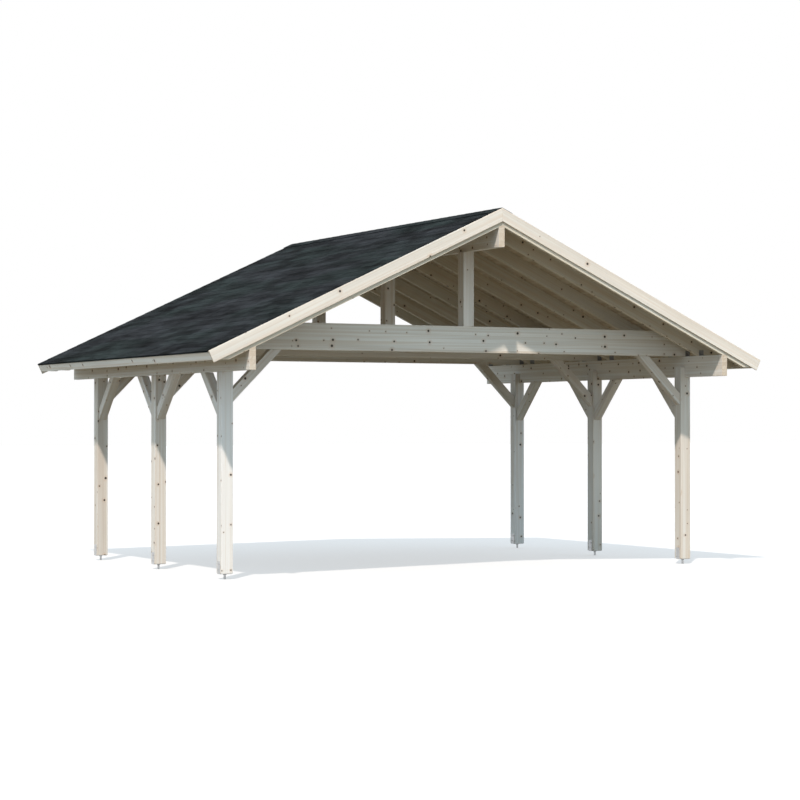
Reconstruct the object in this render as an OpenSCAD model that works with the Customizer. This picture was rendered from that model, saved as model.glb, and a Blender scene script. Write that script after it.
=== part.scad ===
// Open double carport: six posts, three tied frames and a gable roof of sarking boards on rafters.
// +Z is up, +Y runs from the front gable to the rear one, and the origin is on the ground in the
// middle of the six feet. Every size is in millimetres.

/* [Frame] */
// Distance between the outer faces of the left and right posts
frame_w = 5900; // [4800:10:6600]
// Distance between the front face of the front posts and the rear face of the rear posts
frame_d = 3920; // [3400:10:5200]
// Side of the square posts and king posts
post = 130; // [100:5:140]
// Height of the eave beams' underside above the ground
clear_h = 2170; // [2000:10:2600]
// Height of the tongue at a post's head that laps the inner face of the eave beam
tongue_h = 115; // [60:5:180]

/* [Beams] */
// Thickness of the eave beams and the ridge beam
beam_t = 70; // [60:5:90]
// Depth of the eave beams
beam_h = 240; // [180:10:260]
// Depth of the ridge beam
ridge_h = 230; // [180:10:260]
// Depth of the tie beams
tie_h = 290; // [200:10:320]

/* [Braces] */
// Side of the square braces
brace = 95; // [70:5:100]
// Reach of a cross brace along its post and its tie beam
cross_leg = 565; // [400:5:700]
// Reach of an eave brace along its post and its eave beam
eave_leg = 495; // [350:5:650]

/* [Roof] */
// Pitch of the roof, in degrees
pitch = 25; // [20:1:30]
// Distance from the ridge to the outer face of an eave board, measured level
roof_run = 3405; // [3200:5:3600]
// Overhang of the beams past the front and rear posts
gable_run = 730; // [400:5:900]
// Depth of the rafters
rafter_h = 150; // [120:5:180]
// Thickness of the rafters
rafter_t = 45; // [38:1:60]
// Distance between the centres of the inner rafters
rafter_pitch = 632; // [560:1:640]
// Inner rafters on each slope
inner_rafters = 8; // [4:2:8]
// Thickness of the roof boards
board_t = 20; // [16:1:28]
// Thickness of the roof covering
cover_t = 8; // [4:1:12]
// Overhang of the covering past the eave boards
drip = 10; // [5:1:25]
// Depth of the covering's folded edge in front of the eave boards
fold = 18; // [10:1:30]
// Width of each leg of the ridge cap
cap_w = 140; // [100:5:200]
// Thickness of the ridge cap
cap_t = 3; // [2:1:6]

/* [Edge boards] */
// Thickness of the bargeboards and eave boards
edge_t = 20; // [16:1:28]
// Width of the bargeboards
barge_h = 130; // [110:5:180]
// Width of the eave boards
fascia_h = 100; // [70:5:110]
// Height of the covering's surface above the bargeboards' top edge
cover_rise = 6; // [0:1:10]

/* [Post shoes] */
// Height of the posts' lower ends above the ground
foot_gap = 60; // [40:5:120]
// Diameter of the steel pin under each post
pin_d = 24; // [16:1:30]
// Height of a shoe's side plates
cheek_h = 130; // [80:5:200]
// Width of a shoe's side plates
cheek_w = 70; // [50:5:100]
// Thickness of a shoe's steel
cheek_t = 5; // [4:1:8]

/* [Brackets] */
// Length of each bracket's legs
angle_leg = 65; // [40:5:80]
// Width of the brackets
angle_w = 60; // [40:5:70]
// Thickness of the brackets
angle_t = 3; // [2:0.5:4]

/* [Hidden] */
$fn = 32;

wood = "#e6dccb";
felt = "#30363b";
steel = "#a9adb0";

// Posts: centre lines, and the tongue that is left inside the eave beam's seat
post_x = frame_w / 2 - post / 2;
post_y = frame_d / 2 - post / 2;
inner_x = post_x - post / 2;
lap = post - beam_t;

// Eave beams: their inner faces meet the tongues and their outer faces are flush with the posts
beam_in = inner_x + lap;
beam_out = beam_in + beam_t;
beam_top = clear_h + beam_h;
beam_end = frame_d / 2 + gable_run;

// Roof: depths below the bargeboards' top edge, measured square to the slope
cover_n = -cover_rise;
boards_n = cover_n + cover_t;
rafter_n = boards_n + board_t;
soffit_n = rafter_n + rafter_h;
soffit_top = beam_top + beam_in * tan(pitch);
roof_top = soffit_top + soffit_n / cos(pitch);
slope_end = roof_run / cos(pitch);
tail_end = slope_end - edge_t;

tie_top = beam_top + tie_h;
ridge_under = soffit_top - ridge_h;

// A point on the right-hand slope: s down the slope from the ridge, n below the bargeboards' top
function at(s, n) = [s * cos(pitch) - n * sin(pitch), roof_top - s * sin(pitch) - n * cos(pitch)];
// The same depth at the ridge's centre plane
function at_ridge(n) = [0, roof_top - n / cos(pitch)];
// Height of the plane at depth n over a distance x from the ridge
function plane_z(x, n) = roof_top - n / cos(pitch) - x * tan(pitch);

// Centres of all the rafters along Y, the outer two flush with the beam ends
rafter_y = concat(
    [-beam_end + rafter_t / 2],
    [for (i = [0 : inner_rafters - 1]) (i - (inner_rafters - 1) / 2) * rafter_pitch],
    [beam_end - rafter_t / 2]
);

// An outline in X and Z, carried from y0 to y1
module along_y(outline, y0, y1) {
    translate([0, y1, 0])
        rotate([90, 0, 0])
            linear_extrude(y1 - y0)
                polygon(outline);
}

// An outline in Y and Z, carried from x0 to x1
module along_x(outline, x0, x1) {
    translate([x0, 0, 0])
        rotate([90, 0, 90])
            linear_extrude(x1 - x0)
                polygon(outline);
}

// A right-hand part as it is (side 1), or its mirror image on the left (side -1)
module on_side(side) {
    mirror([side < 0 ? 1 : 0, 0, 0])
        children();
}

// Post with the outer part of its head cut away as a seat for the eave beam
module post_at(side, y) {
    head = clear_h + tongue_h;
    color(wood)
        on_side(side)
            along_y([
                [inner_x, foot_gap], [inner_x + post, foot_gap], [inner_x + post, clear_h],
                [inner_x + lap, clear_h], [inner_x + lap, head], [inner_x, head]
            ], y - post / 2, y + post / 2);
}

// Forked steel shoe: two side plates, a base plate and one pin down to the footing
module shoe_at(side, y) {
    outer = inner_x + post + cheek_t;
    inner = inner_x - cheek_t;
    base = foot_gap - cheek_t;
    head = foot_gap + cheek_h;
    color(steel)
        on_side(side) {
            along_y([
                [inner, base], [outer, base], [outer, head], [outer - cheek_t, head],
                [outer - cheek_t, foot_gap], [inner + cheek_t, foot_gap],
                [inner + cheek_t, head], [inner, head]
            ], y - cheek_w / 2, y + cheek_w / 2);
            translate([post_x, y, 0])
                cylinder(d = pin_d, h = base);
        }
}

module eave_beam(side) {
    color(wood)
        on_side(side)
            translate([beam_in, -beam_end, clear_h])
                cube([beam_t, 2 * beam_end, beam_h]);
}

module ridge_beam() {
    color(wood)
        translate([-beam_t / 2, -beam_end, ridge_under])
            cube([beam_t, 2 * beam_end, ridge_h]);
}

// Tie beam on top of both eave beams, its upper corners cut to the pitch under the boards
module tie_beam_at(y) {
    corner = (soffit_top + rafter_h / cos(pitch) - tie_top) / tan(pitch);
    end_z = plane_z(beam_out, rafter_n);
    color(wood)
        along_y([
            [-beam_out, beam_top], [beam_out, beam_top], [beam_out, end_z],
            [corner, tie_top], [-corner, tie_top], [-beam_out, end_z]
        ], y - post / 2, y + post / 2);
}

// King post from the tie beam up to the ridge beam
module king_post_at(y) {
    color(wood)
        translate([-post / 2, y - post / 2, tie_top])
            cube([post, post, ridge_under - tie_top]);
}

// Diagonal strut in the corner below and beside the point (corner, top), towards dir
function strut(corner, top, dir, leg) = let (inner = leg - brace * sqrt(2)) [
    [corner, top - leg], [corner, top - inner], [corner + dir * inner, top], [corner + dir * leg, top]
];

// The pair of braces of one frame, from each post up to the tie beam
module cross_braces_at(y) {
    color(wood)
        for (side = [-1, 1])
            on_side(side)
                along_y(strut(inner_x, beam_top, -1, cross_leg), y - brace / 2, y + brace / 2);
}

// The braces of one side, from the posts up to the eave beam, one towards each open bay
module eave_braces(side) {
    x0 = post_x - brace / 2;
    color(wood)
        on_side(side) {
            for (dir = [-1, 1]) {
                along_x(strut(dir * post / 2, clear_h, dir, eave_leg), x0, x0 + brace);
                along_x(strut(dir * (post_y - post / 2), clear_h, -dir, eave_leg), x0, x0 + brace);
            }
        }
}

// Rafter with seats cut for the ridge beam and the eave beam, and a level cut under its tail
module rafters(side) {
    tail = at(tail_end, boards_n + fascia_h);
    outline = [
        at_ridge(rafter_n), at(tail_end, rafter_n), tail,
        [(soffit_top - tail[1]) / tan(pitch), tail[1]],
        [beam_out, plane_z(beam_out, soffit_n)], [beam_out, beam_top], [beam_in, beam_top],
        [beam_t / 2, plane_z(beam_t / 2, soffit_n)], [beam_t / 2, soffit_top], [0, soffit_top]
    ];
    color(wood)
        on_side(side)
            for (y = rafter_y)
                along_y(outline, y - rafter_t / 2, y + rafter_t / 2);
}

// A layer of the roof from depth n0 to n1, from the ridge down to the slope length given
module roof_layer(side, n0, n1, end, y0, y1) {
    on_side(side)
        along_y([at_ridge(n0), at(end, n0), at(end, n1), at_ridge(n1)], y0, y1);
}

module roof_boards(side) {
    color(wood)
        roof_layer(side, boards_n, rafter_n, tail_end, -beam_end, beam_end);
}

// Covering over the boards, folded down over the top of the eave board
module covering(side) {
    edge = slope_end + drip;
    color(felt)
        on_side(side)
            along_y([
                at_ridge(cover_n), at(edge, cover_n), at(edge, cover_n + fold),
                at(slope_end, cover_n + fold), at(slope_end, boards_n), at_ridge(boards_n)
            ], -beam_end, beam_end);
}

// Folded cap over the joint of the two coverings
module ridge_cap() {
    top_n = cover_n - cap_t;
    right = [at_ridge(top_n), at(cap_w, top_n), at(cap_w, cover_n)];
    left = [for (i = [len(right) - 1 : -1 : 1]) [-right[i][0], right[i][1]]];
    color(felt)
        along_y(concat(right, [at_ridge(cover_n)], left), -beam_end, beam_end);
}

// Bargeboard on the outer rafter, mitred plumb at the apex and cut square at the eave
module barge(side, end) {
    y0 = end < 0 ? -beam_end - edge_t : beam_end;
    color(wood)
        roof_layer(side, 0, barge_h, slope_end, y0, y0 + edge_t);
}

// Board across the rafter ends, square to the slope
module eave_board(side) {
    n1 = boards_n + fascia_h;
    color(wood)
        on_side(side)
            along_y([
                at(tail_end, boards_n), at(slope_end, boards_n), at(slope_end, n1), at(tail_end, n1)
            ], -beam_end, beam_end);
}

// An angle's section: one leg along the beam's top, away from the timber it holds, one up its face
function angle_section(y, dir) = [
    for (p = [[0, 0], [angle_leg, 0], [angle_leg, angle_t], [angle_t, angle_t],
              [angle_t, angle_leg], [0, angle_leg]])
        [y + dir * p[0], beam_top + p[1]]
];

// Steel angles that tie the rafters and the tie beams down to one eave beam, on each face that has
// beam beside it
module brackets(side) {
    x0 = (beam_in + beam_out - angle_w) / 2;
    faces = [
        for (y = rafter_y, dir = [-1, 1])
            if (abs(y + dir * rafter_t / 2) < beam_end - 1) [y + dir * rafter_t / 2, dir],
        for (y = [-post_y, 0, post_y], dir = [-1, 1]) [y + dir * post / 2, dir]
    ];
    color(steel)
        on_side(side)
            for (face = faces)
                along_x(angle_section(face[0], face[1]), x0, x0 + angle_w);
}

post_at(-1, -post_y);  // post_front_left
post_at(1, -post_y);  // post_front_right
post_at(-1, 0);  // post_middle_left
post_at(1, 0);  // post_middle_right
post_at(-1, post_y);  // post_rear_left
post_at(1, post_y);  // post_rear_right
shoe_at(-1, -post_y);  // shoe_front_left
shoe_at(1, -post_y);  // shoe_front_right
shoe_at(-1, 0);  // shoe_middle_left
shoe_at(1, 0);  // shoe_middle_right
shoe_at(-1, post_y);  // shoe_rear_left
shoe_at(1, post_y);  // shoe_rear_right
eave_beam(-1);  // eave_beam_left
eave_beam(1);  // eave_beam_right
ridge_beam();
tie_beam_at(-post_y);  // tie_beam_front
tie_beam_at(0);  // tie_beam_middle
tie_beam_at(post_y);  // tie_beam_rear
king_post_at(-post_y);  // king_post_front
king_post_at(0);  // king_post_middle
king_post_at(post_y);  // king_post_rear
cross_braces_at(-post_y);  // cross_braces_front
cross_braces_at(0);  // cross_braces_middle
cross_braces_at(post_y);  // cross_braces_rear
eave_braces(-1);  // eave_braces_left
eave_braces(1);  // eave_braces_right
rafters(-1);  // rafters_left
rafters(1);  // rafters_right
roof_boards(-1);  // roof_boards_left
roof_boards(1);  // roof_boards_right
covering(-1);  // covering_left
covering(1);  // covering_right
ridge_cap();
barge(-1, -1);  // barge_front_left
barge(1, -1);  // barge_front_right
barge(-1, 1);  // barge_rear_left
barge(1, 1);  // barge_rear_right
eave_board(-1);  // eave_board_left
eave_board(1);  // eave_board_right
brackets(-1);  // brackets_left
brackets(1);  // brackets_right
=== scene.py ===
import math
import random

import bmesh
import bpy
from mathutils import Matrix, Vector


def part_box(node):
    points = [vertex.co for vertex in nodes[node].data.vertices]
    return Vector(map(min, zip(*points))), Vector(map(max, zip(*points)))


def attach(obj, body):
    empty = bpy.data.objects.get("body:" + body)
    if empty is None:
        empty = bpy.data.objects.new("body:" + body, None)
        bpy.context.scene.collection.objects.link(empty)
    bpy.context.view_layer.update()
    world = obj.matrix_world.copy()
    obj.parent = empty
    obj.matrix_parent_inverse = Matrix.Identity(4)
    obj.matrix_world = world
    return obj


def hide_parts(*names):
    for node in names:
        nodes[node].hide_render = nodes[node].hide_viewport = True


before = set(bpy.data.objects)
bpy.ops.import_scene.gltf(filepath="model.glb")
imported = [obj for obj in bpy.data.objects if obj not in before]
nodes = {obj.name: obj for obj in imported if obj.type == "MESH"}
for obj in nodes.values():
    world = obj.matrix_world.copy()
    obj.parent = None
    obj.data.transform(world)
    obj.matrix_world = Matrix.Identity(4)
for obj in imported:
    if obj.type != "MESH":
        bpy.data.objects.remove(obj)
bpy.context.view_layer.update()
scene = bpy.context.scene

# ---------------------------------------------------------------------------------------------
# The view: a person stands on the drive, to the left of the carport, and looks at its front gable
# from eye height with a long lens.
# ---------------------------------------------------------------------------------------------
camera = bpy.data.objects.new("camera", bpy.data.cameras.new("camera"))
camera.location = (-11.994, -23.401, 1.593)
camera.rotation_euler = (math.radians(90.688), 0, math.radians(-27.452))
camera.data.sensor_width = 36
camera.data.lens = 100.2
camera.data.clip_end = 300
scene.collection.objects.link(camera)
scene.camera = camera

# ---------------------------------------------------------------------------------------------
# Posts: planed square spruce with the arrises eased by the planer. The outer part of each head is
# cut away as a seat for the eave beam, and the inner part laps the beam's inner face.
# ---------------------------------------------------------------------------------------------
CHANCE = random.Random(12)
ARRIS, MERGE, TOUCH = 0.004, 0.0001, 0.001


class Flow:
    """A socket of a node tree: arithmetic on it adds Math nodes, and add() makes any other node."""

    def __init__(self, tree, socket=None):
        self.tree = tree
        self.socket = socket

    def add(self, kind, settings=None, inputs=None, out=0):
        """A node of this kind, with its settings made before its sockets are filled or linked."""
        node = self.tree.nodes.new(kind)
        for name, value in (settings or {}).items():
            setattr(node, name, value)
        for key, value in (inputs or {}).items():
            for one in value if isinstance(value, list) else [value]:
                if isinstance(one, Flow):
                    self.tree.links.new(one.socket, node.inputs[key])
                else:
                    node.inputs[key].default_value = one
        return Flow(self.tree, node.outputs[out] if len(node.outputs) else None)

    def __getitem__(self, name):
        """Another output of the same node."""
        return Flow(self.tree, self.socket.node.outputs[name])

    def maths(self, operation, *terms, out=0):
        """Math on numbers alone, or Vector Math where one of the terms is a vector."""
        single = all(isinstance(term, (int, float)) or isinstance(term, Flow) and term.socket.type in
                     ("VALUE", "INT", "BOOLEAN") for term in terms)
        if single:
            return self.add("ShaderNodeMath", {"operation": operation}, dict(enumerate(terms)))
        wide = [(term, term, term) if isinstance(term, (int, float)) else term for term in terms]
        return self.add("ShaderNodeVectorMath", {"operation": operation}, dict(enumerate(wide)), out)

    def by(self, operation, *others, out=0):
        """This value put through an operation that has no sign in Python, such as SINE or FLOOR."""
        return self.maths(operation, self, *others, out=out)

    def __add__(self, other):
        return self.maths("ADD", self, other)

    def __radd__(self, other):
        return self.maths("ADD", other, self)

    def __sub__(self, other):
        return self.maths("SUBTRACT", self, other)

    def __rsub__(self, other):
        return self.maths("SUBTRACT", other, self)

    def __mul__(self, other):
        return self.maths("MULTIPLY", self, other)

    def __rmul__(self, other):
        return self.maths("MULTIPLY", other, self)

    def __truediv__(self, other):
        return self.maths("DIVIDE", self, other)

    def __pow__(self, other):
        return self.maths("POWER", self, other)

    def ease(self, start, stop):
        """0 where this value is at start, 1 at stop, with a smooth step between."""
        return self.add("ShaderNodeMapRange", {"interpolation_type": "SMOOTHSTEP"},
                        {"Value": self, "From Min": start, "From Max": stop})

    def noise(self, detail=2.0, roughness=0.5):
        """Noise at this place, one cell to a unit."""
        return self.add("ShaderNodeTexNoise", {},
                        {"Vector": self, "Scale": 1.0, "Detail": detail, "Roughness": roughness})

    def blend(self, base, over, share, mode="MIX"):
        """The base colour with this share of the colour over it."""
        return self.add("ShaderNodeMix", {"data_type": "RGBA", "blend_type": mode},
                        {0: share, 6: base, 7: over}, out=2)


def surface(name, build):
    """A material whose finish build() makes: it is given a Flow and returns the shader's inputs."""
    material = bpy.data.materials.new(name)
    material.use_nodes = True
    material.node_tree.nodes.clear()
    flow = Flow(material.node_tree)
    shader = flow.add("ShaderNodeBsdfPrincipled", {}, build(flow))
    flow.add("ShaderNodeOutputMaterial", {}, {"Surface": shader})
    return material


def grey(value):
    """A neutral colour."""
    return (value, value, value, 1)


# Width of a year ring, then how far apart knots lie along and across a face, and their radius.
RING = 0.0055
WHORL, FAN = 0.23, 0.095
KNOT_LEAST, KNOT_SPREAD = 0.0055, 0.0095


def spruce(name, pale, warm, knots=0.5, lamella=None):
    """Planed spruce, solid or glued from lamellas: rings round the pith, warm bands, small knots."""

    def build(flow):
        grain = flow.add("ShaderNodeAttribute", {"attribute_name": "grain"}, out="Vector")
        tone = flow.add("ShaderNodeAttribute", {"attribute_name": "tone"}, out="Fac")
        end = flow.add("ShaderNodeAttribute", {"attribute_name": "end"}, out="Fac")
        # A glued beam takes each lamella from a log of its own.
        if lamella:
            layer = flow.add("ShaderNodeSeparateXYZ", {}, {0: grain}, out="Z") / lamella
            number = layer.by("FLOOR")
            log = flow.add("ShaderNodeTexWhiteNoise", {"noise_dimensions": "1D"}, {"W": number + tone},
                           out="Color")
            glue = (layer - number - 0.5).by("ABSOLUTE").ease(0.47, 0.50)
            inside = flow.add("ShaderNodeCombineXYZ", {}, {2: number * lamella})
            grain = grain - inside + (log - (0.5, 0.5, 0.0)) * (40.0, 0.12, 0.06)
        # Small round knots stand here and there on each face.
        face = flow.add("ShaderNodeAttribute", {"attribute_name": "face"}, out="Vector")
        cells = face / (WHORL, FAN, 1.0)
        knot = flow.add("ShaderNodeTexVoronoi", {"voronoi_dimensions": "2D"},
                        {"Vector": cells, "Scale": 1.0}, out="Position")
        draw = flow.add("ShaderNodeSeparateColor", {}, {"Color": knot["Color"]}, out="Red")
        there = draw["Green"].ease(1 - knots, 1.02 - knots)
        size = KNOT_LEAST + KNOT_SPREAD * draw * draw
        apart = ((cells - knot) * (WHORL, FAN, 0.0)).by("LENGTH", out=1) / size
        core = apart.ease(1.15, 0.80) * there
        halo = apart.ease(3.6, 0.9) * there

        # The rings run round the pith, drift a little along the log and bend round the knots.
        along = flow.add("ShaderNodeSeparateXYZ", {}, {0: grain})
        pith = (grain * (0.0, 1.0, 1.0)).by("LENGTH", out=1)
        drift = (grain * (0.7, 5.0, 5.0)).noise(detail=2.0)
        wander = (grain * (0.25, 1.5, 1.5)).noise(detail=1.0)
        reach = pith + 0.016 * drift + 0.05 * wander + 0.010 * halo
        track = flow.add("ShaderNodeCombineXYZ", {}, {0: reach * 46, 1: along * 0.33, 2: tone * 9})
        band = track.noise(detail=3.0, roughness=0.6).ease(0.34, 0.68)
        broad = flow.add("ShaderNodeCombineXYZ", {}, {0: reach * 11, 1: along * 0.8, 2: tone * 5})
        cloud = broad.noise(detail=1.0).ease(0.30, 0.72)
        late = ((reach * (math.tau / RING)).by("SINE") * 0.5 + 0.5) ** 3
        fibre = (grain * (9.0, 420.0, 420.0)).noise(detail=2.0)

        # Warm bands, late wood, knots, each log's own tone and thirsty end grain colour the wood.
        wood = flow.blend(pale, warm, band * 0.85)
        wood = flow.blend(wood, grey(0.80), cloud * 0.45, "MULTIPLY")
        wood = flow.blend(wood, (0.80, 0.66, 0.49, 1), late * 0.26, "MULTIPLY")
        wood = flow.blend(wood, (0.88, 0.75, 0.65, 1), halo * 0.55, "MULTIPLY")
        wood = flow.blend(wood, (0.86, 0.83, 0.78, 1), tone * 0.5 + 0.5, "MULTIPLY")
        wood = flow.blend(wood, (0.72, 0.62, 0.50, 1), end * 0.75, "MULTIPLY")
        if lamella:
            wood = flow.blend(wood, (0.80, 0.72, 0.62, 1), glue, "MULTIPLY")
        wood = flow.blend(wood, (0.034, 0.026, 0.021, 1), core * 0.95)
        height = late * 0.5 + fibre * 0.35 + core * 0.5
        bump = flow.add("ShaderNodeBump", {}, {"Height": height, "Distance": 0.0007, "Strength": 0.6})
        return {"Base Color": wood, "Roughness": 0.66 + 0.12 * band + 0.10 * end - 0.14 * core,
                "Normal": bump, "Specular IOR Level": 0.05}

    return surface(name, build)


def solids(bm):
    """The vertices of each separate solid in the mesh."""
    left = set(bm.verts)
    found = []
    while left:
        group, front = set(), [min(left, key=lambda v: v.index)]
        while front:
            vertex = front.pop()
            if vertex not in group:
                group.add(vertex)
                front += [edge.other_vert(vertex) for edge in vertex.link_edges]
        left -= group
        found.append(sorted(group, key=lambda v: v.index))
    return found


def merged(node):
    """The CAD node's own shape as a mesh with whole faces."""
    bm = bmesh.new()
    bm.from_mesh(nodes[node].data)
    bmesh.ops.remove_doubles(bm, verts=bm.verts, dist=MERGE)
    bmesh.ops.dissolve_limit(bm, angle_limit=math.radians(1), verts=bm.verts, edges=bm.edges)
    bm.verts.index_update()
    return bm


def eased(node, radius):
    """The same shape with its outer edges rounded."""
    bm = merged(node)
    sharp = [e for e in bm.edges if e.is_convex and e.calc_face_angle(0) > math.radians(12)]
    bmesh.ops.bevel(bm, geom=sharp, offset=radius, segments=2, profile=0.6, affect="EDGES",
                    clamp_overlap=True)
    bm.verts.index_update()
    return bm


def extent(group):
    """The lowest and highest corner of the box round these vertices."""
    low = Vector([min(vertex.co[i] for vertex in group) for i in range(3)])
    high = Vector([max(vertex.co[i] for vertex in group) for i in range(3)])
    return low, high


def axes(group):
    """The middle of one timber, and the directions along it, across it and through it."""
    edges = {edge for vertex in group for edge in vertex.link_edges}
    longest = max(edges, key=lambda e: (round(e.calc_length(), 5), -e.verts[0].index))
    along = (longest.verts[1].co - longest.verts[0].co).normalized()
    across = Vector((1, 0, 0)) if abs(along.x) <= abs(along.y) else Vector((0, 1, 0))
    low, high = extent(group)
    return (low + high) / 2, along, across, along.cross(across).normalized()


def lay_grain(bm):
    """Gives each solid its own stretch of log to be cut from, with the grain along the solid."""
    grain = bm.verts.layers.float_vector.new("grain")
    tone = bm.verts.layers.float.new("tone")
    end = bm.faces.layers.float.new("end")
    flat = bm.loops.layers.float_vector.new("face")
    for group in solids(bm):
        middle, along, across, through = axes(group)
        start = Vector((CHANCE.uniform(0, 40), CHANCE.uniform(-0.06, 0.06), CHANCE.uniform(0.03, 0.10)))
        shade = CHANCE.uniform(-1, 1)
        for vertex in group:
            place = vertex.co - middle
            vertex[grain] = start + Vector((place.dot(along), place.dot(across), place.dot(through)))
            vertex[tone] = shade
        for face in {face for vertex in group for face in vertex.link_faces}:
            face[end] = 1.0 if abs(face.normal.dot(along)) > 0.6 else 0.0
            sideways = through if abs(face.normal.dot(across)) > abs(face.normal.dot(through)) else across
            step = 1.7 * round(face.normal.dot(through)) + 3.1 * round(face.normal.dot(across))
            # The step gives each of the four sides knots of its own.
            for corner in face.loops:
                place = corner.vert.co - middle
                corner[flat] = start + Vector((place.dot(along) + step, place.dot(sideways), 0))


def piece(name, shape, material, slot, *stands_for):
    """A finished piece of the carport from a mesh, in place, with its finish."""
    if isinstance(shape, bmesh.types.BMesh):
        mesh = bpy.data.meshes.new(name)
        shape.to_mesh(mesh)
        shape.free()
    else:
        mesh = shape
        mesh.name = name
    mesh.materials.clear()
    mesh.materials.append(material)
    made = bpy.data.objects.new(name, mesh)
    scene.collection.objects.link(made)
    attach(made, "root")
    if stands_for:
        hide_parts(*stands_for)
    return made


def timber(node, material, slot, radius=ARRIS):
    """The CAD node's timber or timbers, eased and with their grain."""
    bm = eased(node, radius)
    lay_grain(bm)
    return piece(node + "_timber", bm, material, slot, node)


post_wood = spruce("post spruce", (0.800, 0.785, 0.765, 1), (0.680, 0.610, 0.540, 1))
ROWS = ("front", "middle", "rear")
SIDES = ("left", "right")
for row in ROWS:
    for side in SIDES:
        timber(f"post_{row}_{side}", post_wood, "post_timber")

# ---------------------------------------------------------------------------------------------
# Post shoes: galvanised flat steel bent into a fork and welded to a round pin. Two coach screws go
# through each side plate into the post, and a nut under the base plate sets the height.
# ---------------------------------------------------------------------------------------------
SCREW_HEAD, SCREW_HEIGHT = 0.017, 0.007
SCREW_OFFSET, SCREW_MARGIN, SCREW_DROP = 0.014, 0.030, 0.063
NUT_ACROSS, NUT_HEIGHT = 0.040, 0.009


def zinc(name, level):
    """Hot-dip galvanised steel: a dull zinc skin with a faint spangle and darker run marks."""

    def build(flow):
        place = flow.add("ShaderNodeTexCoord", out="Object")
        spangle = flow.add("ShaderNodeTexVoronoi", {}, {"Vector": place, "Scale": 140.0}, out="Color")
        facet = flow.add("ShaderNodeSeparateColor", {}, {"Color": spangle})
        dull = (place * (30.0, 30.0, 9.0)).noise(detail=4.0, roughness=0.6).ease(0.35, 0.75)
        skin = flow.blend(grey(level), (level * 0.78, level * 0.80, level * 0.83, 1), facet * 0.5)
        skin = flow.blend(skin, grey(level * 0.62), dull * 0.45)
        grit = (place * 900.0).noise(detail=1.0)
        bump = flow.add("ShaderNodeBump", {}, {"Height": grit, "Distance": 0.0003, "Strength": 0.4})
        return {"Base Color": skin, "Metallic": 0.85 - 0.3 * dull,
                "Roughness": 0.38 + 0.22 * dull + 0.08 * facet, "Normal": bump}

    return surface(name, build)


def tree_of(name, *inputs):
    """An empty Geometry Nodes tree with these named inputs, as (name, kind, value)."""
    tree = bpy.data.node_groups.new(name, "GeometryNodeTree")
    tree.interface.new_socket("Geometry", in_out="INPUT", socket_type="NodeSocketGeometry")
    for label, kind, value in inputs:
        socket = tree.interface.new_socket(label, in_out="INPUT", socket_type="NodeSocket" + kind)
        if value is not None:
            socket.default_value = value
    tree.interface.new_socket("Geometry", in_out="OUTPUT", socket_type="NodeSocketGeometry")
    return Flow(tree).add("NodeGroupInput")


def close_tree(start, shape):
    """Ends a tree: what it made becomes a plain mesh in the tree's own material."""
    plain = start.add("GeometryNodeRealizeInstances", {}, {0: shape})
    plain = start.add("GeometryNodeSetMaterial", {}, {"Geometry": plain, "Material": start["Material"]})
    start.add("NodeGroupOutput", {}, {0: plain})
    return start.tree


def keep(start, shape, name, value, kind="FLOAT", domain="POINT"):
    """Stores a value on the shape under a name that a later node or the material reads."""
    return start.add("GeometryNodeStoreNamedAttribute", {"data_type": kind, "domain": domain},
                     {"Geometry": shape, "Name": name, "Value": value})


def grown(mesh, tree, values):
    """The plain mesh that a Geometry Nodes tree makes from another mesh and these inputs."""
    holder = bpy.data.objects.new("holder", mesh)
    scene.collection.objects.link(holder)
    modifier = holder.modifiers.new("nodes", "NODES")
    modifier.node_group = tree
    for item in tree.interface.items_tree:
        if item.in_out == "INPUT" and item.name in values:
            modifier[item.identifier] = values[item.name]
    bpy.context.view_layer.update()
    made = bpy.data.meshes.new_from_object(holder.evaluated_get(bpy.context.evaluated_depsgraph_get()))
    holder.modifiers.remove(modifier)
    bpy.data.objects.remove(holder)
    return made


def heads_tree():
    """Screw or bolt heads: one slightly conical head on each point, standing along its own 'out'."""
    start = tree_of("fixing heads", ("Sides", "Int", 12), ("Diameter", "Float", 0.01),
                    ("Height", "Float", 0.002), ("Material", "Material", None))
    head = start.add("GeometryNodeMeshCone", {}, {
        "Vertices": start["Sides"], "Radius Top": start["Diameter"] * 0.42,
        "Radius Bottom": start["Diameter"] * 0.5, "Depth": start["Height"]})
    out = start.add("GeometryNodeInputNamedAttribute", {"data_type": "FLOAT_VECTOR"}, {"Name": "out"})
    turn = start.add("FunctionNodeAlignRotationToVector", {"axis": "Z"}, {"Vector": out})
    heads = start.add("GeometryNodeInstanceOnPoints", {},
                      {"Points": start["Geometry"], "Instance": head, "Rotation": turn})
    return close_tree(start, heads)


HEADS = heads_tree()


def spot_mesh(spots):
    """A mesh of loose points from (place, outward direction), with the direction kept as 'out'."""
    mesh = bpy.data.meshes.new("spots")
    mesh.from_pydata([spot for spot, out in spots], [], [])
    outward = mesh.attributes.new("out", "FLOAT_VECTOR", "POINT")
    for item, (spot, out) in zip(outward.data, spots):
        item.vector = out
    return mesh


def fixings(name, spots, sides, diameter, height, material):
    """One piece with all the heads of one kind, one at each of the spots."""
    made = grown(spot_mesh(spots), HEADS, {"Sides": sides, "Diameter": diameter, "Height": height,
                                           "Material": material})
    return piece(name, made, material, "galvanised_steel")


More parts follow.
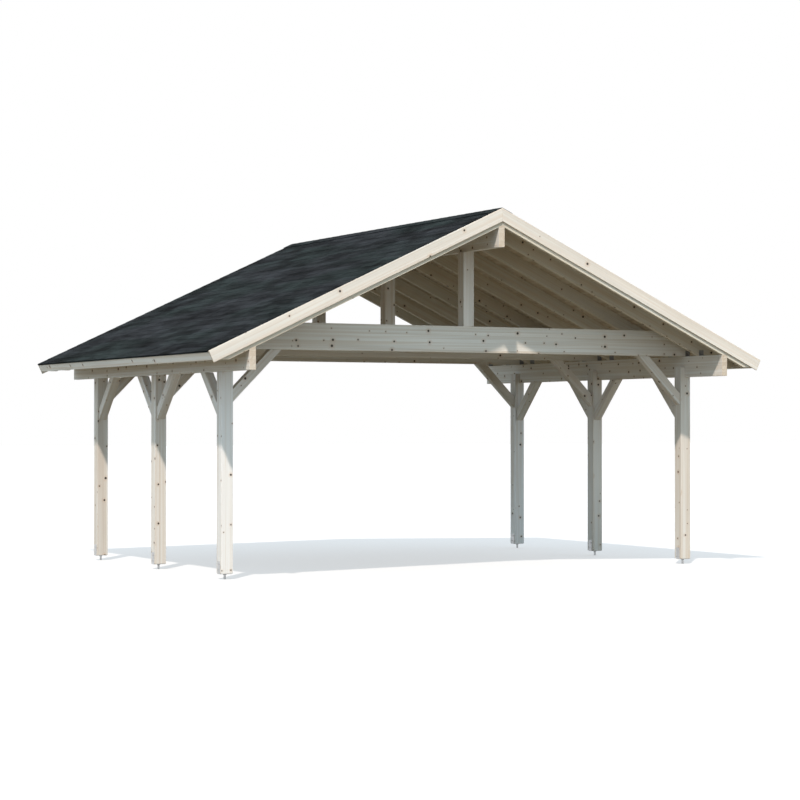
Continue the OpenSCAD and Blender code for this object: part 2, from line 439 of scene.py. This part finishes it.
shoe_zinc = zinc("shoe zinc", 0.60)
shoe_spots, nut_spots = [], []
for row in ROWS:
    for side in SIDES:
        node = f"shoe_{row}_{side}"
        piece(node + "_steel", eased(node, 0.0015), shoe_zinc, "galvanised_steel", node)
        low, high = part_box(node)
        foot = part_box(f"post_{row}_{side}")[0]
        middle = (low + high) / 2
        for x, out in ((low.x, (-1, 0, 0)), (high.x, (1, 0, 0))):
            for offset, drop in ((-SCREW_OFFSET, 0), (SCREW_OFFSET, SCREW_DROP)):
                height = high.z - SCREW_MARGIN - drop
                shoe_spots.append((Vector((x, middle.y + offset, height)), out))
        base = foot.z - (foot.x - low.x)
        nut_spots.append((Vector((middle.x, middle.y, base - NUT_HEIGHT)), (0, 0, 1)))
fixings("shoe_screws", shoe_spots, 6, SCREW_HEAD, SCREW_HEIGHT, shoe_zinc)
fixings("pin_nuts", nut_spots, 6, NUT_ACROSS, NUT_HEIGHT, shoe_zinc)

# ---------------------------------------------------------------------------------------------
# Eave beams and ridge beam: planed spruce glued from lamellas and set on edge, one on each row of
# posts and one under the ridge. They run out past the end frames and carry all the rafters.
# ---------------------------------------------------------------------------------------------
beam_wood = spruce("beam spruce", (0.820, 0.810, 0.785, 1), (0.690, 0.625, 0.550, 1), knots=0.6,
                   lamella=0.0405)
for node in ("eave_beam_left", "eave_beam_right", "ridge_beam"):
    timber(node, beam_wood, "beam_timber")

# ---------------------------------------------------------------------------------------------
# Tie beams and king posts: each frame has a heavy tie across both eave beams, its upper corners cut
# to the roof's pitch, and a king post in the middle that holds up the ridge beam.
# ---------------------------------------------------------------------------------------------
for row in ROWS:
    timber(f"tie_beam_{row}", beam_wood, "beam_timber")
    timber(f"king_post_{row}", post_wood, "post_timber")

# ---------------------------------------------------------------------------------------------
# Braces: short square struts cut at 45 degrees, from the posts up to the tie beams and the eave
# beams. Two long screws through the lower face hold each end.
# ---------------------------------------------------------------------------------------------
END_GAP, PAIR_GAP = 0.085, 0.022
BRACE_HEAD, BRACE_HEAD_HEIGHT = 0.013, 0.002
screw_zinc = zinc("screw zinc", 0.60)
brace_spots = []
for node in [f"cross_braces_{row}" for row in ROWS] + [f"eave_braces_{side}" for side in SIDES]:
    shape = merged(node)
    for group in solids(shape):
        middle, along, across, through = axes(group)
        down = through if through.z < 0 else -through
        places = [vertex.co - middle for vertex in group]
        depth = max(place.dot(down) for place in places)
        lower = [place.dot(along) for place in places if place.dot(down) > depth - TOUCH]
        for reach in (min(lower) + END_GAP, max(lower) - END_GAP):
            for offset in (-PAIR_GAP, PAIR_GAP):
                spot = middle + along * reach + across * offset + down * depth
                brace_spots.append((spot, down))
    shape.free()
    timber(node, post_wood, "beam_timber")
fixings("brace_screws", brace_spots, 12, BRACE_HEAD, BRACE_HEAD_HEIGHT, screw_zinc)

# ---------------------------------------------------------------------------------------------
# Rafters: planed spruce on edge at even centres, seated on the ridge beam and the eave beams. Each
# tail has a level cut below the eave board.
# ---------------------------------------------------------------------------------------------
# The rafters get a darker, greyer copy of the spruce: painted shade for the dim space under the roof.
shaded_rafter_wood = spruce("rafter spruce", (0.700, 0.665, 0.590, 1), (0.620, 0.540, 0.430, 1), knots=0.4)
for side in SIDES:
    timber(f"rafters_{side}", shaded_rafter_wood, "rafter_timber", radius=0.002)

# ---------------------------------------------------------------------------------------------
# Roof boarding: tongued and grooved spruce boards nailed across the rafters, from the ridge down to
# the eave board. Their chamfered lower edges make a fine V groove at every seam.
# ---------------------------------------------------------------------------------------------
BOARD_COVER, BOARD_CHAMFER, SEAM = 0.096, 0.0035, 0.0006
widest = max(nodes["covering_right"].data.polygons, key=lambda face: face.area)
PITCH = math.acos(abs(widest.normal.z))
ROOF_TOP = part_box("barge_front_right")[1].z
RIDGE_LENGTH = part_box("ridge_beam")[1].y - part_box("ridge_beam")[0].y


def slope(side):
    """Turns a slope's own axes, along the eave, down the slope and out of it, to the carport's."""
    down = Vector((math.cos(PITCH), 0, -math.sin(PITCH)))
    out = Vector((math.sin(PITCH), 0, math.cos(PITCH)))
    turn = Matrix((down.cross(out), down, out)).transposed().to_4x4()
    turn = Matrix.Translation((0, 0, ROOF_TOP)) @ turn
    return turn if side == "right" else Matrix.Rotation(math.pi, 4, "Z") @ turn


def node_depths(node):
    """The least and greatest reach down the slope, and depth below its plane, of a right-hand node."""
    places = [slope("right").inverted() @ vertex.co for vertex in nodes[node].data.vertices]
    downs, depths = [place.y for place in places], [-place.z for place in places]
    return min(downs), max(downs), min(depths), max(depths)


def courses_tree():
    """Courses: repeats one piece, a metre long, in rows down a slope and in columns along it."""
    start = tree_of("courses", ("Rows", "Int", 10), ("Row Step", "Float", 0.1),
                    ("First Row", "Float", 0.0), ("Columns", "Int", 1), ("Column Width", "Float", 1.0),
                    ("Full Width", "Float", 1.0), ("Stagger", "Float", 0.0), ("Slot", "Float", 0.0),
                    ("Jitter", "Vector", (0, 0, 0)), ("Seed", "Int", 1), ("Material", "Material", None))
    # One point for each place, with odd rows shifted and their end pieces cut to the full width.
    index = start.add("GeometryNodeInputIndex")
    line = start.add("GeometryNodeMeshLine", {}, {"Count": start["Rows"] * start["Columns"]})
    row = ((index + 0.5) / start["Columns"]).by("FLOOR")
    column = index - row * start["Columns"]
    shift = (row * start["Stagger"]).by("FRACT")
    width, full = start["Column Width"], start["Full Width"]

    def bounded(place):
        return start.add("ShaderNodeClamp", {}, {"Value": place, "Min": 0.0, "Max": full})

    near, far = bounded((column - shift) * width), bounded((column - shift + 1) * width)
    spot = start.add("ShaderNodeCombineXYZ", {}, {
        0: (near + far) * 0.5 - full * 0.5, 1: start["First Row"] + row * start["Row Step"], 2: 0.0})
    shake = start.add("FunctionNodeRandomValue", {"data_type": "FLOAT_VECTOR"},
                      {0: (-1, -1, -1), 1: (1, 1, 1), "Seed": start["Seed"]})
    size = far - near - start["Slot"]
    points = start.add("GeometryNodeSetPosition", {}, {
        "Geometry": line, "Position": spot + shake * start["Jitter"]})
    points = keep(start, points, "size", size)
    sized = start.add("GeometryNodeInputNamedAttribute", {"data_type": "FLOAT"}, {"Name": "size"})
    room = sized.by("GREATER_THAN", 0.01)
    scale = start.add("ShaderNodeCombineXYZ", {}, {0: sized, 1: 1.0, 2: 1.0})
    laid = start.add("GeometryNodeInstanceOnPoints", {}, {
        "Points": points, "Selection": room, "Instance": start["Geometry"], "Scale": scale})
    # Each piece gets its own tone, and its own stretch of log or sheet to be cut from.
    shade = start.add("FunctionNodeRandomValue", {"data_type": "FLOAT"},
                      {2: -1.0, 3: 1.0, "Seed": start["Seed"] + 1}, out=1)
    laid = keep(start, laid, "tone", shade, domain="INSTANCE")
    log = start.add("FunctionNodeRandomValue", {"data_type": "FLOAT_VECTOR"},
                    {0: (0, -0.06, 0.03), 1: (40, 0.06, 0.10), "Seed": start["Seed"] + 2})
    here = start.add("GeometryNodeInputPosition")
    laid = keep(start, laid, "cut", log - here, "FLOAT_VECTOR", "INSTANCE")
    plain = start.add("GeometryNodeRealizeInstances", {}, {0: laid})
    cut = start.add("GeometryNodeInputNamedAttribute", {"data_type": "FLOAT_VECTOR"}, {"Name": "cut"})
    place = cut + start.add("GeometryNodeInputPosition")
    plain = keep(start, plain, "grain", place, "FLOAT_VECTOR")
    plain = keep(start, plain, "face", place, "FLOAT_VECTOR")
    return close_tree(start, plain)


COURSES = courses_tree()


def prism(outline, name):
    """A solid a metre long in X, from an outline of (down the slope, out of it) points."""
    bm = bmesh.new()
    face = bm.faces.new([bm.verts.new((-0.5, y, z)) for y, z in outline])
    grown_out = bmesh.ops.extrude_face_region(bm, geom=[face])
    moved = [item for item in grown_out["geom"] if isinstance(item, bmesh.types.BMVert)]
    bmesh.ops.translate(bm, verts=moved, vec=(1, 0, 0))
    bmesh.ops.recalc_face_normals(bm, faces=bm.faces)
    mesh = bpy.data.meshes.new(name)
    bm.to_mesh(mesh)
    bm.free()
    return mesh


# The boards get a darker, browner copy of the spruce: partly their own rougher tone, partly painted shade
# for the dim underside of the roof.
shaded_board_wood = spruce("boarding spruce painted shade", (0.600, 0.535, 0.430, 1), (0.480, 0.385, 0.270, 1), knots=0.35)
board_top, board_bottom = node_depths("roof_boards_right")[2], node_depths("roof_boards_right")[3]
board_end = node_depths("roof_boards_right")[1]
board_first = board_bottom * math.tan(PITCH) + SEAM
board_rows = round((board_end - board_first) / BOARD_COVER)
board_step = (board_end - board_first) / board_rows
board_face = board_step - SEAM
board_outline = [
    (0, -board_top), (board_face, -board_top), (board_face, -board_bottom + BOARD_CHAMFER),
    (board_face - BOARD_CHAMFER, -board_bottom), (BOARD_CHAMFER, -board_bottom),
    (0, -board_bottom + BOARD_CHAMFER),
]
for number, side in enumerate(SIDES):
    boards = grown(prism(board_outline, "board"), COURSES, {
        "Rows": board_rows, "Row Step": board_step, "First Row": board_first,
        "Column Width": RIDGE_LENGTH, "Full Width": RIDGE_LENGTH, "Seed": 20 + number,
        "Material": shaded_board_wood})
    boards.transform(slope(side))
    piece(f"boarding_{side}", boards, shaded_board_wood, "roof_boarding", f"roof_boards_{side}")

# ---------------------------------------------------------------------------------------------
# Bargeboards and eave boards: planed spruce boards screwed to the outer rafters and to the rafter
# ends. The bargeboards meet in a plumb mitre under the ridge.
# ---------------------------------------------------------------------------------------------
edge_wood = spruce("edge board spruce", (0.815, 0.800, 0.770, 1), (0.740, 0.655, 0.575, 1), knots=0.3)
BARGE_SCREWS, FIRST_SCREW = 6, 0.35
UPPER_MARGIN, LOWER_MARGIN, EAVE_MARGIN = 0.040, 0.028, 0.0224
EDGE_HEAD, EDGE_HEAD_HEIGHT = 0.007, 0.001
edge_spots = []
barge_end, barge_depth = node_depths("barge_front_right")[1], node_depths("barge_front_right")[3]
for end in ("front", "rear"):
    low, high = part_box(f"barge_{end}_right")
    out = Vector((0, -1 if end == "front" else 1, 0))
    outer = low.y if end == "front" else high.y
    for side in SIDES:
        timber(f"barge_{end}_{side}", edge_wood, "edge_boards", radius=0.003)
        for number in range(BARGE_SCREWS):
            down = barge_end * (number + FIRST_SCREW) / BARGE_SCREWS
            for depth in (UPPER_MARGIN, barge_depth - LOWER_MARGIN):
                spot = slope(side) @ Vector((0, down, -depth))
                edge_spots.append((Vector((spot.x, outer, spot.z)), out))
rafter_shape = merged("rafters_right")
rafter_lines = sorted(axes(group)[0].y for group in solids(rafter_shape))
rafter_shape.free()
eave_reach, eave_top, eave_bottom = node_depths("eave_board_right")[1:4]
for side in SIDES:
    timber(f"eave_board_{side}", edge_wood, "edge_boards", radius=0.003)
    out = (slope(side).to_3x3() @ Vector((0, 1, 0))).normalized()
    for line in rafter_lines:
        for depth in (eave_top + LOWER_MARGIN, eave_bottom - EAVE_MARGIN):
            spot = slope(side) @ Vector((0, eave_reach, -depth))
            edge_spots.append((Vector((spot.x, line, spot.z)), out))
fixings("edge_screws", edge_spots, 12, EDGE_HEAD, EDGE_HEAD_HEIGHT, screw_zinc)

# ---------------------------------------------------------------------------------------------
# Roof covering: bitumen shingles with anthracite mineral granules, nailed in staggered courses over
# an underlay that is folded down at the eave. Each butt rests on the course below, and bent caps
# close the ridge.
# ---------------------------------------------------------------------------------------------
TAB_WIDTH, COURSES_PER_SLOPE, TAB_SLOT, TAB_LAP = 0.336, 27, 0.006, 0.035
TAB_THICK, TAB_LIFT, FOLD_THICK = 0.0024, 0.0026, 0.003
TAB_ROUND, TAB_EDGE = 0.0012, 0.0006


def mineral(name, dark, light):
    """Slate granules pressed into bitumen: every tab has its own tone, with faint weather streaks."""

    def build(flow):
        grain = flow.add("ShaderNodeAttribute", {"attribute_name": "grain"}, out="Vector")
        tone = flow.add("ShaderNodeAttribute", {"attribute_name": "tone"}, out="Fac")
        place = flow.add("ShaderNodeTexCoord", out="Object")
        speck = flow.add("ShaderNodeTexVoronoi", {}, {"Vector": grain, "Scale": 520.0}, out="Color")
        shade = flow.add("ShaderNodeSeparateColor", {}, {"Color": speck})
        cloud = (place * (5.5, 1.4, 5.5)).noise(detail=3.0, roughness=0.58).ease(0.40, 0.62)
        streak = (grain * (2.6, 16.0, 16.0)).noise(detail=3.0, roughness=0.6).ease(0.34, 0.70)
        level = 0.42 * (tone * 0.5 + 0.5) + 0.22 * streak + 0.36 * cloud
        felt = flow.blend(dark, light, level)
        tint = (place * (1.6, 0.6, 1.6) + 7.0).noise(detail=2.0).ease(0.38, 0.62)
        shift = flow.blend((1.06, 0.99, 1.08, 1), (0.90, 1.04, 1.00, 1), tint)
        felt = flow.blend(felt, shift, 1.0, "MULTIPLY")
        felt = flow.blend(felt, (1.9, 1.9, 1.95, 1), (shade ** 6) * 0.6, "MULTIPLY")
        height = shade * 0.8 + streak * 0.2
        bump = flow.add("ShaderNodeBump", {}, {"Height": height, "Distance": 0.0012, "Strength": 0.5})
        return {"Base Color": felt, "Roughness": 0.86 - 0.10 * shade, "Normal": bump,
                "Specular IOR Level": 0.02}

    return surface(name, build)


roof_felt = mineral("slate granules", (0.0006, 0.0014, 0.0020, 1), (0.0240, 0.0290, 0.0305, 1))


def trim(shape, place, out):
    """Cuts off what lies beyond a plane, and closes the cut."""
    bmesh.ops.bisect_plane(shape, geom=[*shape.verts, *shape.edges, *shape.faces], dist=MERGE,
                           plane_co=place, plane_no=out, clear_outer=True)
    bmesh.ops.holes_fill(shape, edges=[edge for edge in shape.edges if edge.is_boundary], sides=0)


cover_end, cover_top, fold_bottom = node_depths("covering_right")[1:4]
exposure = cover_end / COURSES_PER_SLOPE
tab_length = exposure + TAB_LAP
butt_top = -cover_top
tab_outline = [
    (0, butt_top - TAB_LIFT - TAB_THICK), (tab_length, butt_top - TAB_THICK),
    (tab_length, butt_top - TAB_EDGE), (tab_length - TAB_ROUND, butt_top),
    (0, butt_top - TAB_LIFT),
]
sheet_top = butt_top - TAB_LIFT - TAB_THICK
sheet_outline = [
    (0, -board_top), (cover_end - FOLD_THICK, -board_top), (cover_end - FOLD_THICK, -fold_bottom),
    (cover_end, -fold_bottom), (cover_end, sheet_top), (0, sheet_top),
]
for number, side in enumerate(SIDES):
    tabs = grown(prism(tab_outline, "tab"), COURSES, {
        "Rows": COURSES_PER_SLOPE, "Row Step": exposure, "First Row": -TAB_LAP,
        "Columns": round(RIDGE_LENGTH / TAB_WIDTH) + 1,
        "Column Width": RIDGE_LENGTH / round(RIDGE_LENGTH / TAB_WIDTH), "Full Width": RIDGE_LENGTH,
        "Stagger": 0.5, "Slot": TAB_SLOT, "Jitter": (0.0, 0.0015, 0.0003), "Seed": 40 + number,
        "Material": roof_felt})
    below = grown(prism(sheet_outline, "sheet"), COURSES, {
        "Rows": 1, "Row Step": 1.0, "First Row": 0.0, "Column Width": RIDGE_LENGTH,
        "Full Width": RIDGE_LENGTH, "Seed": 50 + number, "Material": roof_felt})
    shape = bmesh.new()
    shape.from_mesh(tabs)
    shape.from_mesh(below)
    shape.transform(slope(side))
    trim(shape, (0, 0, 0), (-1 if side == "right" else 1, 0, 0))
    piece(f"shingles_{side}", shape, roof_felt, "roof_felt", f"covering_{side}")

CAP_PIECES, CAP_LAP, CAP_SPANS = 27, 0.03, 12
CAP_THICK, CAP_ROUND, CAP_END = 0.0025, 0.008, 0.001
cap_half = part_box("ridge_cap")[1].x
cap_step = RIDGE_LENGTH / CAP_PIECES
cap_long = cap_step + CAP_LAP


def cap_section(lift):
    """The cap's bent line across the ridge: both slopes, with a rounded crest."""
    spots = []
    for number in range(CAP_SPANS + 1):
        x = cap_half * (2 * number / CAP_SPANS - 1)
        fall = math.tan(PITCH) * (math.hypot(x, CAP_ROUND) - CAP_ROUND * 0.4)
        spots.append((x, lift - fall))
    return spots


def ridge_cap():
    """One bent cap, a little higher towards the end that lies on the next one."""
    bm = bmesh.new()
    rest = -cover_top / math.cos(PITCH)
    rings = []
    for y, lift in ((0.0, 0.0), (cap_long / 2, 0.0008), (cap_long, 0.0020)):
        loop = cap_section(rest + lift) + cap_section(rest + lift + CAP_THICK)[::-1]
        rings.append([bm.verts.new((x, y, z)) for x, z in loop])
    for first, second in zip(rings, rings[1:]):
        for i in range(len(first)):
            j = (i + 1) % len(first)
            bm.faces.new((first[i], first[j], second[j], second[i]))
    for ring_end in (rings[0], rings[-1]):
        for i in range(CAP_SPANS):
            j = len(ring_end) - 1 - i
            bm.faces.new((ring_end[i], ring_end[i + 1], ring_end[j - 1], ring_end[j]))
    bmesh.ops.recalc_face_normals(bm, faces=bm.faces)
    mesh = bpy.data.meshes.new("cap")
    bm.to_mesh(mesh)
    bm.free()
    return mesh


caps = grown(ridge_cap(), COURSES, {
    "Rows": CAP_PIECES, "Row Step": cap_step, "First Row": -CAP_LAP, "Jitter": (0.0012, 0.001, 0.0),
    "Seed": 60, "Material": roof_felt})
caps.transform(Matrix.Translation((0, -RIDGE_LENGTH / 2, ROOF_TOP)))
shape = bmesh.new()
shape.from_mesh(caps)
for end in (-1, 1):
    trim(shape, (0, end * (RIDGE_LENGTH / 2 + CAP_END), 0), (0, end, 0))
piece("ridge_caps", shape, roof_felt, "roof_felt", "ridge_cap")

# ---------------------------------------------------------------------------------------------
# Angle brackets: punched and bent galvanised plate that ties each rafter and each tie beam down to
# the eave beam, with ring-shank nails in part of the holes.
# ---------------------------------------------------------------------------------------------


def angle_tree():
    """Punched angles: two perforated legs with nail heads, one angle on each point."""
    start = tree_of("punched angle", ("Leg", "Float", 0.06), ("Width", "Float", 0.06),
                    ("Thickness", "Float", 0.003), ("Hole", "Float", 0.005), ("Columns", "Int", 3),
                    ("Rows", "Int", 3), ("Nail Head", "Float", 0.009), ("Material", "Material", None))
    # One leg, flat and punched, with nails in part of its holes.
    thick = start["Thickness"]
    clear = start["Leg"] - thick
    blank = start.add("GeometryNodeCurvePrimitiveQuadrilateral", {},
                      {"Width": start["Width"], "Height": clear})
    spots = start.add("GeometryNodeMeshGrid", {}, {
        "Size X": start["Width"] * 0.64, "Size Y": clear * 0.62,
        "Vertices X": start["Columns"], "Vertices Y": start["Rows"]})
    punch = start.add("GeometryNodeCurvePrimitiveCircle", {},
                      {"Resolution": 10, "Radius": start["Hole"] * 0.5})
    holes = start.add("GeometryNodeInstanceOnPoints", {}, {"Points": spots, "Instance": punch})
    holes = start.add("GeometryNodeRealizeInstances", {}, {0: holes})
    lines = start.add("GeometryNodeJoinGeometry", {}, {0: [blank, holes]})
    face = start.add("GeometryNodeFillCurve", {}, {0: lines})
    raised = start.add("GeometryNodeExtrudeMesh", {},
                       {"Mesh": face, "Offset Scale": thick, "Individual": False})
    under = start.add("GeometryNodeFlipFaces", {}, {0: face})
    plate = start.add("GeometryNodeJoinGeometry", {}, {0: [raised, under]})
    plate = start.add("GeometryNodeMergeByDistance", {}, {0: plate, "Distance": MERGE})
    index = start.add("GeometryNodeInputIndex")
    some = (index * 2.0 + 1).by("MODULO", 3.0).by("LESS_THAN", 1.5)
    nail = start.add("GeometryNodeMeshCone", {}, {
        "Vertices": 10, "Radius Top": start["Nail Head"] * 0.38,
        "Radius Bottom": start["Nail Head"] * 0.5, "Depth": thick * 0.5})
    nails = start.add("GeometryNodeInstanceOnPoints", {},
                      {"Points": spots, "Selection": some, "Instance": nail})
    raise_by = start.add("ShaderNodeCombineXYZ", {}, {0: 0.0, 1: 0.0, 2: thick})
    nails = start.add("GeometryNodeTransform", {}, {"Geometry": nails, "Translation": raise_by})
    leg = start.add("GeometryNodeJoinGeometry", {}, {0: [plate, nails]})
    leg = start.add("GeometryNodeRealizeInstances", {}, {0: leg})
    # The leg lies along Y, stands up along Z, and both meet at the bend.
    out = start.add("ShaderNodeCombineXYZ", {}, {0: 0.0, 1: clear * 0.5 + thick, 2: 0.0})
    flat = start.add("GeometryNodeTransform", {}, {"Geometry": leg, "Translation": out})
    up = start.add("ShaderNodeCombineXYZ", {}, {0: 0.0, 1: 0.0, 2: clear * 0.5 + thick})
    stood = start.add("GeometryNodeTransform", {}, {
        "Geometry": leg, "Translation": up, "Rotation": (math.pi / 2, 0, math.pi)})
    size = start.add("ShaderNodeCombineXYZ", {}, {0: start["Width"], 1: thick, 2: thick})
    bend = start.add("GeometryNodeMeshCube", {}, {"Size": size})
    corner = start.add("ShaderNodeCombineXYZ", {}, {0: 0.0, 1: thick * 0.5, 2: thick * 0.5})
    bend = start.add("GeometryNodeTransform", {}, {"Geometry": bend, "Translation": corner})
    angle = start.add("GeometryNodeJoinGeometry", {}, {0: [flat, stood, bend]})
    facing = start.add("GeometryNodeInputNamedAttribute", {"data_type": "FLOAT_VECTOR"}, {"Name": "out"})
    turn = start.add("FunctionNodeAlignRotationToVector", {"axis": "Y", "pivot_axis": "Z"},
                     {"Vector": facing})
    laid = start.add("GeometryNodeInstanceOnPoints", {},
                     {"Points": start["Geometry"], "Instance": angle, "Rotation": turn})
    return close_tree(start, laid)


ANGLES = angle_tree()
# The angles get a darker copy of the galvanised steel: painted shade for where they sit under the roof.
shaded_angle_zinc = zinc("angle zinc painted shade", 0.30)
for side in SIDES:
    shape = merged(f"brackets_{side}")
    spots = []
    for group in solids(shape):
        low, high = extent(group)
        upper = [vertex.co.y for vertex in group if vertex.co.z > high.z - TOUCH]
        forward = 1 if sum(upper) / len(upper) < (low.y + high.y) / 2 else -1
        heel = low.y if forward > 0 else high.y
        spots.append((Vector(((low.x + high.x) / 2, heel, low.z)), (0, forward, 0)))
    shape.free()
    angles = grown(spot_mesh(spots), ANGLES, {
        "Leg": high.z - low.z, "Width": high.x - low.x, "Material": shaded_angle_zinc})
    piece(f"angles_{side}", angles, shaded_angle_zinc, "galvanised_steel", f"brackets_{side}")

# ---------------------------------------------------------------------------------------------
# Setting: a plain pale floor that keeps the carport's shadow, a soft high sun from the front left,
# and a sky that is brightest at the horizon. The backdrop is white.
# ---------------------------------------------------------------------------------------------
SUN_TRAVEL = Vector((0.8, 1.0, -1.65))
HORIZON_LIGHT, ZENITH_LIGHT = 1.50, 0.95
FLOOR_REACH = 150
floor_mesh = bpy.data.meshes.new("floor")
corners = [(x * FLOOR_REACH, y * FLOOR_REACH, 0) for x, y in ((-1, -1), (1, -1), (1, 1), (-1, 1))]
floor_mesh.from_pydata(corners, [], [(0, 1, 2, 3)])
floor = bpy.data.objects.new("floor", floor_mesh)
scene.collection.objects.link(floor)


def seen_directly(flow):
    """1 for rays from the camera and for what gloss or glass shows, 0 for light that lights things."""
    path = flow.add("ShaderNodeLightPath", out="Is Camera Ray")
    return path.by("MAXIMUM", path["Is Glossy Ray"]).by("MAXIMUM", path["Is Transmission Ray"])


ground = bpy.data.materials.new("floor")
ground.use_nodes = True
ground.node_tree.nodes.clear()
flow = Flow(ground.node_tree)
pale_floor = flow.add("ShaderNodeAddShader", {}, {
    0: flow.add("ShaderNodeBsdfDiffuse", {}, {"Color": grey(0.34)}),
    1: flow.add("ShaderNodeEmission", {}, {"Color": grey(1.0), "Strength": 0.52})})
lit_floor = flow.add("ShaderNodeBsdfDiffuse", {}, {"Color": (0.180, 0.160, 0.120, 1)})
both = flow.add("ShaderNodeMixShader", {}, {0: seen_directly(flow), 1: lit_floor, 2: pale_floor})
flow.add("ShaderNodeOutputMaterial", {}, {"Surface": both})
floor_mesh.materials.append(ground)

sun = bpy.data.objects.new("sun", bpy.data.lights.new("sun", "SUN"))
sun.data.energy = 3.95
sun.data.color = (1.0, 0.90, 0.815)
sun.data.angle = math.radians(1.6)
sun.rotation_euler = SUN_TRAVEL.to_track_quat("-Z", "Y").to_euler()
scene.collection.objects.link(sun)

scene.world = bpy.data.worlds.new("sky")
scene.world.use_nodes = True
scene.world.node_tree.nodes.clear()
flow = Flow(scene.world.node_tree)
towards = flow.add("ShaderNodeTexCoord", out="Generated")
height = flow.add("ShaderNodeSeparateXYZ", {}, {0: towards}, out="Z")
strength = HORIZON_LIGHT - height * (HORIZON_LIGHT - ZENITH_LIGHT)
sky = flow.add("ShaderNodeBackground", {}, {"Color": (0.70, 0.87, 1.0, 1), "Strength": strength})
white = flow.add("ShaderNodeBackground", {}, {"Color": grey(1.0), "Strength": 1.0})
both = flow.add("ShaderNodeMixShader", {}, {0: seen_directly(flow), 1: sky, 2: white})
flow.add("ShaderNodeOutputWorld", {}, {"Surface": both})

scene.view_settings.view_transform = "Standard"
